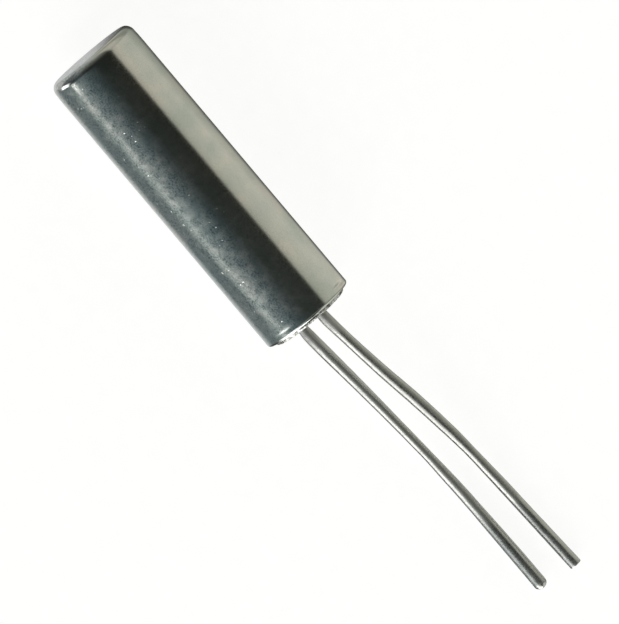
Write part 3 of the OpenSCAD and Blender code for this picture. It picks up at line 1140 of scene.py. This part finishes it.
quartz, tree, shader, place = start_finish("quartz_lapped", IOR=1.544, Transmission_Weight=0.9)
grit = add_node(
    tree, "ShaderNodeTexNoise", inputs={"Vector": place, "Scale": 1 / (GRIT * MM), "Detail": 2.0}
)
satin = add_node(
    tree, "ShaderNodeMapRange", inputs={"Value": grit.outputs["Fac"], "To Min": 0.22, "To Max": 0.46}
)
tree.links.new(satin.outputs[0], shader.inputs["Roughness"])
tone = add_node(
    tree,
    "ShaderNodeMix",
    {"data_type": "RGBA"},
    {"Factor": grit.outputs["Fac"], MIX_A: srgb("#EAF0EE"), MIX_B: srgb("#FAFBF8")},
)
tree.links.new(tone.outputs[MIX_OUT], shader.inputs["Base Color"])
lapped = add_node(
    tree, "ShaderNodeBump", inputs={"Height": grit.outputs["Fac"], "Distance": GRIT_DEPTH * MM}
)
tree.links.new(lapped.outputs[0], shader.inputs["Normal"])
print(quartz.name, "has", len(tree.nodes), "nodes")

# %% Evaporate the silver
BLOOM_SIZE = 0.5

silver, tree, shader, place = start_finish("silver_film_evaporated", Metallic=1.0)
bloom = add_node(
    tree, "ShaderNodeTexNoise", inputs={"Vector": place, "Scale": 1 / (BLOOM_SIZE * MM), "Detail": 4.0}
)
tone = add_node(
    tree,
    "ShaderNodeMix",
    {"data_type": "RGBA"},
    {"Factor": bloom.outputs["Fac"], MIX_A: srgb("#EDEBE4"), MIX_B: srgb("#D9D0BD")},
)
tree.links.new(tone.outputs[MIX_OUT], shader.inputs["Base Color"])
fine = add_node(
    tree, "ShaderNodeTexNoise", inputs={"Vector": place, "Scale": 1 / (GRIT * MM), "Detail": 2.0}
)
gloss = add_node(
    tree, "ShaderNodeMapRange", inputs={"Value": fine.outputs["Fac"], "To Min": 0.12, "To Max": 0.3}
)
tree.links.new(gloss.outputs[0], shader.inputs["Roughness"])
followed = add_node(
    tree, "ShaderNodeBump", inputs={"Height": fine.outputs["Fac"], "Distance": GRIT_DEPTH * MM}
)
tree.links.new(followed.outputs[0], shader.inputs["Normal"])
print(silver.name, "has", len(tree.nodes), "nodes")

# %% Cure the epoxy
FLAKE_SIZE = 0.03
FLAKE_RISE = 0.006

epoxy, tree, shader, place = start_finish("silver_epoxy_cured", Metallic=0.6)
flakes = add_node(
    tree, "ShaderNodeTexVoronoi", {"feature": "F1"}, {"Vector": place, "Scale": 1 / (FLAKE_SIZE * MM)}
)
flake_lot = add_node(tree, "ShaderNodeSeparateColor", inputs={"Color": flakes.outputs["Color"]})
tone = add_node(
    tree,
    "ShaderNodeMix",
    {"data_type": "RGBA"},
    {"Factor": flake_lot.outputs["Red"], MIX_A: srgb("#8C8A84"), MIX_B: srgb("#BBB9B2")},
)
tree.links.new(tone.outputs[MIX_OUT], shader.inputs["Base Color"])
gloss = add_node(
    tree,
    "ShaderNodeMapRange",
    inputs={"Value": flake_lot.outputs["Green"], "To Min": 0.4, "To Max": 0.6},
)
tree.links.new(gloss.outputs[0], shader.inputs["Roughness"])
bumpy = add_node(
    tree, "ShaderNodeBump", inputs={"Height": flakes.outputs["Distance"], "Distance": FLAKE_RISE * MM}
)
tree.links.new(bumpy.outputs[0], shader.inputs["Normal"])
print(epoxy.name, "has", len(tree.nodes), "nodes")

# %% [markdown]
# ## Sweeping the leads
# Each path gets the wire tree as a modifier, whose inputs are set by their sockets'
# identifiers. The swept mesh is then kept and the path thrown away. The inner end of a
# lead is pressed flat, and the quartz stands on the flat, so points above it move down.

# %% Sweep the leads
PAIR_UP = Vector((0, -math.sin(PAIR_TURN), math.cos(PAIR_TURN)))


def make_lead(name, root, stations, rounding, dip_number):
    """Sweeps one lead, keeps its mesh and presses its inner end flat."""
    path = wire_path(name + "_path", root, stations, rounding)
    sweep = path.modifiers.new("sweep", "NODES")
    sweep.node_group = wire_tree
    chosen = {"Dip Number": dip_number, "Finish": solder}
    for item in sockets:
        if item.in_out == "INPUT" and item.name in chosen:
            sweep[item.identifier] = chosen[item.name]
    now = bpy.context.evaluated_depsgraph_get()
    data = bpy.data.meshes.new_from_object(path.evaluated_get(now))
    data.name = name
    bpy.data.objects.remove(path)
    for vertex in data.vertices:
        height = vertex.co.dot(PAIR_UP) - PAIR_SHIFT * MM * PAIR_UP.y
        if vertex.co.x < (FLAT_X + HAIR / 5) * MM and height > 0:
            vertex.co -= height * PAIR_UP
    piece = bpy.data.objects.new(name, data)
    SCENE.collection.objects.link(piece)
    return piece


lead_a = make_lead("lead_a_tinned", ROOT_A, WIRE_A, ROUNDING_A, 0.0)
lead_b = make_lead("lead_b_tinned", ROOT_B, WIRE_B, ROUNDING_B, 7.0)
print("leads have", len(lead_a.data.polygons), "and", len(lead_b.data.polygons), "faces")

# %% [markdown]
# ## Boring the glass
# The leads run through the glass. It could be left whole, with the leads standing in
# it, but then its mesh would be wrong inside. A Boolean with a rod for each lead cuts
# two true bores instead.

# %% Bore the glass
ROD_LENGTH = GLASS_FACE_X - GLASS_BACK_X + 0.4
lie_along_x = Matrix.Rotation(math.pi / 2, 4, "Y")

for name, root in (("bore_a", ROOT_A), ("bore_b", ROOT_B)):
    rod_mesh = bmesh.new()
    middle = Vector(((GLASS_FACE_X + GLASS_BACK_X) / 2, root.y, root.z)) * MM
    bmesh.ops.create_cone(
        rod_mesh,
        cap_ends=True,
        segments=48,
        radius1=LEAD_R * MM,
        radius2=LEAD_R * MM,
        depth=ROD_LENGTH * MM,
        matrix=Matrix.Translation(middle) @ lie_along_x,
    )
    rod_data = bpy.data.meshes.new(name)
    rod_mesh.to_mesh(rod_data)
    rod_mesh.free()
    rod = bpy.data.objects.new(name, rod_data)
    SCENE.collection.objects.link(rod)
    cut = glass.modifiers.new(name, "BOOLEAN")
    cut.operation, cut.solver, cut.object = "DIFFERENCE", "EXACT", rod
    now = bpy.context.evaluated_depsgraph_get()
    bored = bpy.data.meshes.new_from_object(glass.evaluated_get(now))
    glass.modifiers.remove(cut)
    glass.data = bored
    bpy.data.objects.remove(rod)
print("the glass has", len(glass.data.polygons), "faces after boring")

# %% [markdown]
# ## Joining the frame
# Every piece made here stands for one CAD node. The five small pieces inside the can
# are right as the CAD drew them, so they stay and only get their finishes. The leads
# have theirs already, from the wire tree.


# %% Fit the pieces, finish the CAD nodes
def fit_piece(piece, node, slot_name, *materials):
    """Stands the piece in for its CAD node, on the one body of the unit."""
    for material in materials:
        piece.data.materials.append(material)
    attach(piece, "root")
    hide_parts(node)
    print(piece.name, "has", len(piece.data.polygons), "faces and stands for", node)


fit_piece(can_shell, "can", "can_metal", nickel_silver)
fit_piece(ring, "base_ring", "ring_metal", tin)
fit_piece(glass, "glass_seal", "seal_glass", sealing_glass)
fit_piece(lead_a, "lead_a", "lead_metal")
fit_piece(lead_b, "lead_b", "lead_metal")

INNER_FINISHES = {
    "quartz_blank": quartz,
    "electrode_front": silver,
    "electrode_back": silver,
    "adhesive_a": epoxy,
    "adhesive_b": epoxy,
}
for node_name, finish in INNER_FINISHES.items():
    node_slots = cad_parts[node_name].material_slots
    for node_slot in node_slots:
        node_slot.material = finish
    print(node_name, "takes", finish.name, "in", len(node_slots), "slot")
